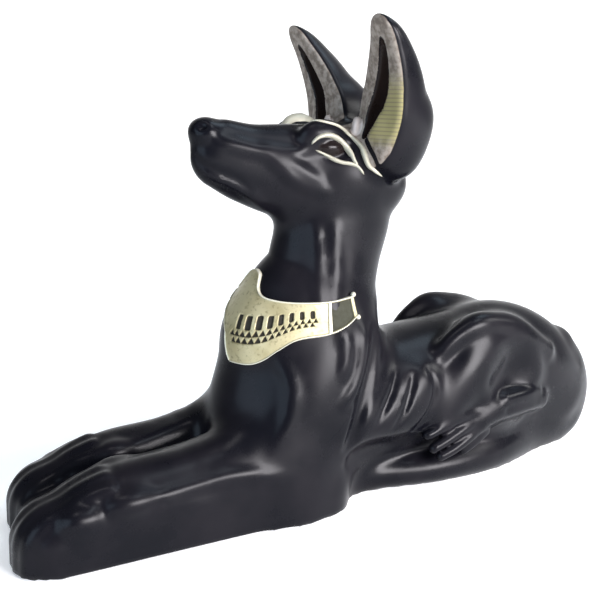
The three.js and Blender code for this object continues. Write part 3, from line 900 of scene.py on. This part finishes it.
def rounded_box(x, y, half_width, half_height, corner):
    """Signed distance to a rectangle with rounded corners."""
    across = np.abs(x) - half_width + corner
    along = np.abs(y) - half_height + corner
    outside = np.hypot(np.maximum(across, 0), np.maximum(along, 0))
    return outside + np.minimum(np.maximum(across, along), 0) - corner


def openings(round_mm, share, tall):
    """Signed distance to the collar's openings: leaning cells with two rows of small scales below."""
    number = np.clip(np.round((round_mm - CELL_START) / CELL_PITCH), 0, CELLS - 1)
    above_hem = share * tall
    tall = np.minimum(tall, GROWING_UP_TO)
    lift = above_hem - CELL_LEVEL * tall
    across = round_mm - CELL_START - number * CELL_PITCH - CELL_LEAN * lift
    half_width = CELL_HALF_WIDTH + CELL_WIDENING * tall
    best = rounded_box(across, lift, half_width, CELL_HALF_HEIGHT * tall, CELL_CORNER)
    last = CELL_START + (CELLS - 1) * CELL_PITCH
    for row, level in enumerate(SCALE_LEVELS):
        start = CELL_START - CELL_PITCH / 2 + row * SCALE_PITCH / 2
        count = round((last - start) / SCALE_PITCH)
        number = np.clip(np.round((round_mm - start) / SCALE_PITCH), 0, count)
        across = np.abs(round_mm - start - number * SCALE_PITCH)
        lift = above_hem - level * tall
        half = SCALE_HALF + SCALE_WIDENING * tall
        scale = np.maximum(across * 0.85 + lift * 0.5 - half * 0.55, -lift - half * 0.8)
        best = np.minimum(best, scale)
    return best


def collar_relief(degrees, signed_mm, share, tall, height):
    """How far each point is from an opening and from the panel, how much of a rim it is, and its rise."""
    round_mm = np.abs(signed_mm)
    left, right = (np.interp(height, *zip(*edge)) for edge in (LEFT_EDGE, RIGHT_EDGE))
    from_front = np.maximum(signed_mm - left, right - signed_mm)
    from_front = np.maximum(from_front, (height - OPEN_BELOW) / MM)
    to_edge = np.minimum(np.minimum(share * tall, tall - share * tall), from_front)
    hole = openings(round_mm, share, tall)
    from_bar = round_mm - np.interp(BAR_ANGLE, degrees, round_mm[0])
    panel_end = np.interp(COLLAR_END - PANEL_SHORT, degrees, round_mm[0])
    panel = np.maximum(BAR_WIDTH / 2 - from_bar, round_mm - panel_end)
    panel = np.maximum(panel, RIM_WIDTH - to_edge)
    bar = smooth(BAR_WIDTH / 2, 0.4, np.abs(from_bar))
    rim = np.maximum(smooth(RIM_WIDTH, RIM_WIDTH - 0.35, to_edge), bar)
    sunk_in = OPENING_DEPTH * smooth(*WALL, hole) + PANEL_DEPTH * smooth(*WALL, panel)
    rise = SUNK + (PLATE + RIM * rim - sunk_in - SUNK) * smooth(-0.1, 0.5, to_edge)
    rise[[0, -1]] = SUNK
    rise[:, [0, -1]] = SUNK
    return hole, panel, rim, rise


def knob(centre):
    """Points and quads of a small ball."""
    turn = np.linspace(0, 2 * math.pi, KNOB_TURNS + 1)[:, None]
    rise = np.linspace(-math.pi / 2, math.pi / 2, KNOB_TURNS // 2 + 1)[None, :]
    ball = [np.cos(rise) * np.cos(turn), np.cos(rise) * np.sin(turn), np.sin(rise) + 0 * turn]
    ball = np.stack(ball, -1)
    index = np.arange(ball[..., 0].size).reshape(ball.shape[:2])
    return centre + ball.reshape(-1, 3) * KNOB_RADIUS * MM, grid_quads(index.T)


def collar():
    """The plate round the neck, with a knob at the top and the foot of each end."""
    degrees = np.linspace(-COLLAR_END, COLLAR_END, COLLAR_COLUMNS)
    hem, neckline = edge_height(HEM, degrees), edge_height(NECKLINE, degrees)
    share = np.concatenate([[0], np.linspace(0, 1, COLLAR_ROWS), [1]])[:, None]
    height = hem + (neckline - hem) * share
    skin = collar_skin(np.tile(np.radians(degrees), (len(share), 1)).ravel(), height.ravel())
    normals = outward(figure, skin)
    grid = skin.reshape(len(share), COLLAR_COLUMNS, 3)
    out = normals.reshape(grid.shape)
    steps = np.linalg.norm(np.diff(grid[len(share) // 2], axis=0), axis=1) / MM
    signed_mm = np.concatenate([[0], np.cumsum(steps)])
    signed_mm = (signed_mm - np.interp(0, degrees, signed_mm))[None, :]
    tall = ((neckline - hem) / MM)[None, :]
    hole, panel, rim, rise = collar_relief(degrees, signed_mm, share, tall, height)
    points = [skin + normals * (rise * MM).reshape(-1, 1)]
    quads = [grid_quads(np.arange(len(skin)).reshape(grid.shape[:2]))]
    for row in (1, -2):
        for column in (1, -2):
            ball, faces = knob(grid[row, column] + out[row, column] * PLATE * MM)
            quads.append(faces + sum(map(len, points)))
            points.append(ball)
    points = np.concatenate(points)
    piece = mesh_object("collar", points, np.concatenate(quads))
    plain = np.full(len(points) - len(skin), -1.0)
    note(piece, "opening", np.concatenate([-hole.ravel(), plain]))
    note(piece, "panel", np.concatenate([-panel.ravel(), plain]))
    note(piece, "rim", np.concatenate([rim.ravel(), -plain]))
    return piece


def line_strip(course, widths, rises, side):
    """Points and quads of one raised line with a rounded section, its foot sunk in the skin."""
    rows = smooth_course([(x * side, y, z) for x, y, z in course], LINE_STEPS)
    rows = settle(rows, raised, 3)
    out = outward(raised, rows)
    ahead = np.gradient(rows, axis=0)
    across = np.cross(ahead, out)
    across /= np.linalg.norm(across, axis=1)[:, None]
    t = np.linspace(0, 1, len(rows))
    width, rise = (np.interp(t, [0, 1 / 3, 2 / 3, 1], row)[:, None] * MM for row in (widths, rises))
    turn = np.linspace(0, math.pi, LINE_SIDES)
    ends = np.sqrt(np.clip(np.minimum(t, 1 - t) / LINE_TAPER, 0, 1))[:, None]
    points = []
    for angle in turn:
        foot = LINE_FOOT * MM * (1 - math.sin(angle))
        side_way = across * width * ends * math.cos(angle)
        points.append(rows + side_way + out * (rise * ends * math.sin(angle) - foot))
    points = np.stack(points, 1)
    quads = grid_quads(np.arange(points.shape[0] * LINE_SIDES).reshape(-1, LINE_SIDES))
    return points.reshape(-1, 3), quads if side < 0 else quads[:, ::-1]


def eye_lines():
    """All the raised lines round the eyes in one piece."""
    points, quads, start = [], [], 0
    for course, widths, rises, sides in EYE_LINES.values():
        for side in sides:
            strip, faces = line_strip(course, widths, rises, side)
            points.append(strip)
            quads.append(faces + start)
            start += len(strip)
    piece = mesh_object("eye_lines", np.concatenate(points), np.concatenate(quads))
    note(piece, "rim", np.ones(start))
    return piece


# Materials. Colours are linear, and a noise's scale is how many of its waves go into a metre.
BLACK = (0.0026, 0.0027, 0.0042)
SOFT_BLACK = (0.0055, 0.0050, 0.0068)
HOLLOW_BROWN = (0.016, 0.010, 0.008)
EYE_BROWN = (0.007, 0.005, 0.005)
EAR_GREY = (0.24, 0.208, 0.178)
EAR_GREY_DEEP = (0.115, 0.093, 0.076)
EAR_YELLOW = (0.255, 0.225, 0.105)
# Painted highlight: the bar at an ear's root is coloured whiter than the rest of the ear's gold.
BAR_PAINTED_HIGHLIGHT = (0.42, 0.37, 0.34)
# How often the painted shade of an ear band's fine ribs repeats: once every 1.4 mm.
RIB_SHADE_FREQUENCY = 2 * math.pi / 0.0014
COLLAR_GOLD = (0.33, 0.295, 0.175)
COLLAR_GOLD_WARM = (0.235, 0.205, 0.105)
COLLAR_RIM = (0.46, 0.44, 0.35)
COLLAR_WORN = (0.120, 0.098, 0.045)
OPENING_BROWN = (0.012, 0.009, 0.004)
PANEL_OLIVE = (0.020, 0.020, 0.010)
PAPER_LOW = (0.90, 0.90, 0.895)
PAPER_HIGH = (0.94, 0.94, 0.935)


class Nodes:
    """Adds nodes to a material: a value or a socket of another node goes into each input."""

    def __init__(self, tree):
        self.tree = tree

    def add(self, kind, *inputs, out=0, **settings):
        node = self.tree.nodes.new("ShaderNode" + kind)
        for name, value in settings.items():
            setattr(node, name, value)
        for socket, value in zip(node.inputs, inputs):
            self.feed(socket, value)
        return node.outputs[out]

    def feed(self, socket, value):
        if isinstance(value, bpy.types.NodeSocket):
            self.tree.links.new(value, socket)
        elif value is not None:
            socket.default_value = value

    def place(self):
        """The point itself, in metres."""
        return self.add("TexCoord", out=3)

    def noted(self, name):
        """The value that the piece keeps under a name."""
        return self.add("Attribute", attribute_name=name, out=2)

    def math(self, operation, *inputs):
        return self.add("Math", *inputs, operation=operation)

    def noise(self, place, scale, detail=3.0, roughness=0.55):
        return self.add("TexNoise", place, None, scale, detail, roughness)

    def ramp(self, value, low, high, to_low=0.0, to_high=1.0):
        return self.add("MapRange", value, low, high, to_low, to_high, interpolation_type="SMOOTHSTEP")

    def mixed(self, share, a, b):
        node = self.tree.nodes.new("ShaderNodeMix")
        node.data_type = "RGBA"
        self.feed(node.inputs["Factor"], share)
        for name, color in (("A", a), ("B", b)):
            self.feed(node.inputs[name], color if isinstance(color, bpy.types.NodeSocket) else (*color, 1))
        return node.outputs["Result"]

    def bump(self, height, strength, distance):
        node = self.tree.nodes.new("ShaderNodeBump")
        node.inputs["Strength"].default_value = strength
        node.inputs["Distance"].default_value = distance
        self.feed(node.inputs["Height"], height)
        return node.outputs[0]


def principled(name, color, roughness, **sockets):
    """A plain material, with its nodes and its shader."""
    material = bpy.data.materials.new(name)
    material.use_nodes = True
    shader = material.node_tree.nodes["Principled BSDF"]
    shader.inputs["Base Color"].default_value = (*color, 1)
    shader.inputs["Roughness"].default_value = roughness
    for socket, value in sockets.items():
        shader.inputs[socket.replace("_", " ")].default_value = value
    return material, Nodes(material.node_tree), shader


def lacquer_and_gold():
    """Black lacquer, with ear and eye paint, painted rib shade and a painted bar highlight where the body's
    values put them.
    """
    material, nodes, shader = principled("lacquer_and_gold", BLACK, 0.28, Specular_IOR_Level=0.09)
    place = nodes.place()
    broad = nodes.noise(place, 38)
    fine = nodes.noise(place, 420, 4)
    grain = nodes.noise(place, 1500, 2)
    hollow = nodes.noted("hollow")
    black = nodes.mixed(nodes.ramp(broad, 0.35, 0.7), BLACK, SOFT_BLACK)
    black = nodes.mixed(nodes.ramp(hollow, -0.25, 0.1), black, HOLLOW_BROWN)
    eyeball = nodes.ramp(nodes.noted("eye"), -0.12, -0.05)
    black = nodes.mixed(eyeball, black, EYE_BROWN)
    gold = nodes.mixed(nodes.ramp(fine, 0.35, 0.65), EAR_GREY, EAR_GREY_DEEP)
    height = nodes.add("SeparateXYZ", place, out=2)
    # Painted shade: the fine ribs on the yellow of an ear's band are not raised, and their shade is painted
    # as darker stripes.
    rib = nodes.ramp(nodes.math("SINE", nodes.math("MULTIPLY", height, RIB_SHADE_FREQUENCY)), 0.2, 1)
    ribbed_with_painted_shade = nodes.mixed(nodes.math("MULTIPLY", rib, 0.55), EAR_YELLOW, EAR_GREY_DEEP)
    gold = nodes.mixed(nodes.noted("yellow"), gold, ribbed_with_painted_shade)
    # Painted highlight: the bar at the ear's root turns whiter than the ear's gold.
    gold = nodes.mixed(nodes.ramp(nodes.noted("bright"), -0.1, 0.1), gold, BAR_PAINTED_HIGHLIGHT)
    uneven = nodes.math("MULTIPLY", nodes.math("SUBTRACT", fine, 0.5), 0.12)
    band = nodes.ramp(nodes.math("ADD", nodes.noted("gold"), uneven), -0.03, 0.03)
    band = nodes.math("MINIMUM", band, nodes.ramp(hollow, -0.16, -0.22))
    nodes.feed(shader.inputs["Base Color"], nodes.mixed(band, black, gold))
    nodes.feed(shader.inputs["Metallic"], nodes.math("MULTIPLY", band, 0.25))
    dull = nodes.math("ADD", nodes.ramp(broad, 0.3, 0.75, 0.22, 0.31), nodes.math("MULTIPLY", grain, 0.05))
    dull = nodes.math("ADD", dull, nodes.math("MULTIPLY", band, 0.2))
    dull = nodes.math("SUBTRACT", dull, nodes.math("MULTIPLY", eyeball, 0.12))
    nodes.feed(shader.inputs["Roughness"], dull)
    nodes.feed(shader.inputs["Normal"], nodes.bump(broad, 0.2, 0.0004))
    return material


def gold_paint():
    """Worn gold with bright rims, and dark matt openings and panel."""
    material, nodes, shader = principled("gold_paint", COLLAR_GOLD, 0.36)
    place = nodes.place()
    fine = nodes.noise(place, 700, 4)
    broad = nodes.noise(place, 90)
    gold = nodes.mixed(nodes.ramp(broad, 0.35, 0.7), COLLAR_GOLD, COLLAR_GOLD_WARM)
    gold = nodes.mixed(nodes.ramp(fine, 0.52, 0.7, 0, 0.6), gold, COLLAR_WORN)
    gold = nodes.mixed(nodes.ramp(nodes.noted("rim"), 0.2, 0.8), gold, COLLAR_RIM)
    opening = nodes.ramp(nodes.noted("opening"), -0.05, 0.12)
    panel = nodes.ramp(nodes.noted("panel"), -0.05, 0.12)
    gold = nodes.mixed(opening, gold, OPENING_BROWN)
    nodes.feed(shader.inputs["Base Color"], nodes.mixed(panel, gold, PANEL_OLIVE))
    dark = nodes.math("MAXIMUM", opening, panel)
    nodes.feed(shader.inputs["Metallic"], nodes.ramp(dark, 0, 1, 0.3, 0))
    dull = nodes.math("ADD", nodes.ramp(fine, 0.3, 0.7, 0.32, 0.46), nodes.math("MULTIPLY", dark, 0.5))
    nodes.feed(shader.inputs["Roughness"], dull)
    nodes.feed(shader.inputs["Normal"], nodes.bump(fine, 0.3, 0.00006))
    return material


# The camera's place, heading, pitch and roll are fitted to the outline of the figure.
CAMERA_PLACE = Vector((0.2598, -0.1764, 0.1452))
HEADING = math.radians(-59.56)
PITCH = math.radians(12.82)
ROLL = math.radians(2.39)
LENS = 49.14
AWAY = Vector((math.sin(HEADING), math.cos(HEADING), 0))
ASIDE = Vector((AWAY.y, -AWAY.x, 0))

# Each light's azimuth, elevation and distance from the middle of the figure, then its width and
# height, its power and its colour. The wash is aimed at the floor behind the figure instead.
FIGURE_MIDDLE = Vector((0, 0, 0.07))
FLOOR_BEHIND = AWAY * 2.2 + Vector((0, 0, 0.3))
LIGHTS = {
    "window": (111, 13, 1.1, (0.6, 0.38), 33, (1, 0.97, 1)),
    "side": (147, 27, 1.1, (0.3, 0.3), 4.4, (1, 1, 0.98)),
    "high_side": (124, 56, 1.1, (0.34, 0.34), 3.2, (0.84, 0.92, 1)),
    "top": (56, 68, 1.2, (0.36, 0.26), 2.2, (1, 0.96, 0.99)),
    "sky": (176, 58, 1.2, (0.44, 0.44), 3.6, (0.68, 0.86, 1)),
    "low_front": (25, 12, 1.1, (0.8, 0.8), 9, (0.62, 0.8, 1)),
    "wash": (60, 30, 1.3, (2.4, 0.6), 10, (1, 0.99, 0.97), FLOOR_BEHIND),
}
WORLD_COLOR = (0.96, 0.97, 1, 1)
WORLD_STRENGTH = 0.16

# The floor's distances behind the figure and heights. It glows a little, so that it stays white.
FLOOR_PROFILE = [(-6, 0), (0, 0), (1.2, 0), (1.7, 0.12), (2.0, 0.5), (2.1, 1.2), (2.1, 5)]
FLOOR_SIDES = (-7, 7)
FLOOR_GLOW = 0.26


def soft_box(name, azimuth, elevation, away, size, power, color, aim=FIGURE_MIDDLE):
    """A rectangular light that faces its aim, placed by its direction and distance from there."""
    back = Vector(facing(azimuth, elevation))
    data = bpy.data.lights.new(name, "AREA")
    data.shape = "RECTANGLE"
    data.size, data.size_y = size
    data.energy = power
    data.color = color
    light = in_scene(name, data)
    light.location = aim + back * away
    light.rotation_euler = back.to_track_quat("Z", "Y").to_euler()


def studio():
    """A pale world and the soft lights."""
    world = bpy.data.worlds.new("studio")
    world.use_nodes = True
    world.node_tree.nodes["Background"].inputs["Color"].default_value = WORLD_COLOR
    world.node_tree.nodes["Background"].inputs["Strength"].default_value = WORLD_STRENGTH
    bpy.context.scene.world = world
    bpy.context.scene.view_settings.view_transform = "Standard"
    for name, spec in LIGHTS.items():
        soft_box(name, *spec)


def pale_floor():
    """A sheet that is level under the figure and turns up behind it."""
    mesh = bpy.data.meshes.new("floor")
    rows = [[AWAY * d + ASIDE * s + Vector((0, 0, h)) for d, h in FLOOR_PROFILE] for s in FLOOR_SIDES]
    index = np.arange(2 * len(FLOOR_PROFILE)).reshape(2, -1)
    mesh.from_pydata(rows[0] + rows[1], [], grid_quads(index).tolist())
    mesh.shade_smooth()
    floor = in_scene("floor", mesh)
    paper, nodes, shader = principled("pale_floor", PAPER_HIGH, 0.8)
    speckle = nodes.noise(nodes.place(), 600, 2)
    nodes.feed(shader.inputs["Base Color"], nodes.mixed(speckle, PAPER_LOW, PAPER_HIGH))
    shader.inputs["Emission Color"].default_value = (1, 1, 1, 1)
    shader.inputs["Emission Strength"].default_value = FLOOR_GLOW
    floor.data.materials.append(paper)


def camera():
    """The camera at the photograph's angle."""
    ahead = AWAY * math.cos(PITCH) - Vector((0, 0, math.sin(PITCH)))
    level = ASIDE.cross(ahead)
    right = math.cos(ROLL) * ASIDE + math.sin(ROLL) * level
    up = math.cos(ROLL) * level - math.sin(ROLL) * ASIDE
    turn = Matrix((right, up, -ahead)).transposed().to_4x4()
    data = bpy.data.cameras.new("camera")
    data.lens = LENS
    camera_object = in_scene("camera", data)
    camera_object.matrix_world = Matrix.Translation(CAMERA_PLACE) @ turn
    bpy.context.scene.camera = camera_object


black, gold = lacquer_and_gold(), gold_paint()
figure_piece = body()
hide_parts(NODE)
for piece, paint in ((figure_piece, black), (collar(), gold), (eye_lines(), gold)):
    piece.data.materials.append(paint)
    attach(piece, "root")

camera()
studio()
pale_floor()
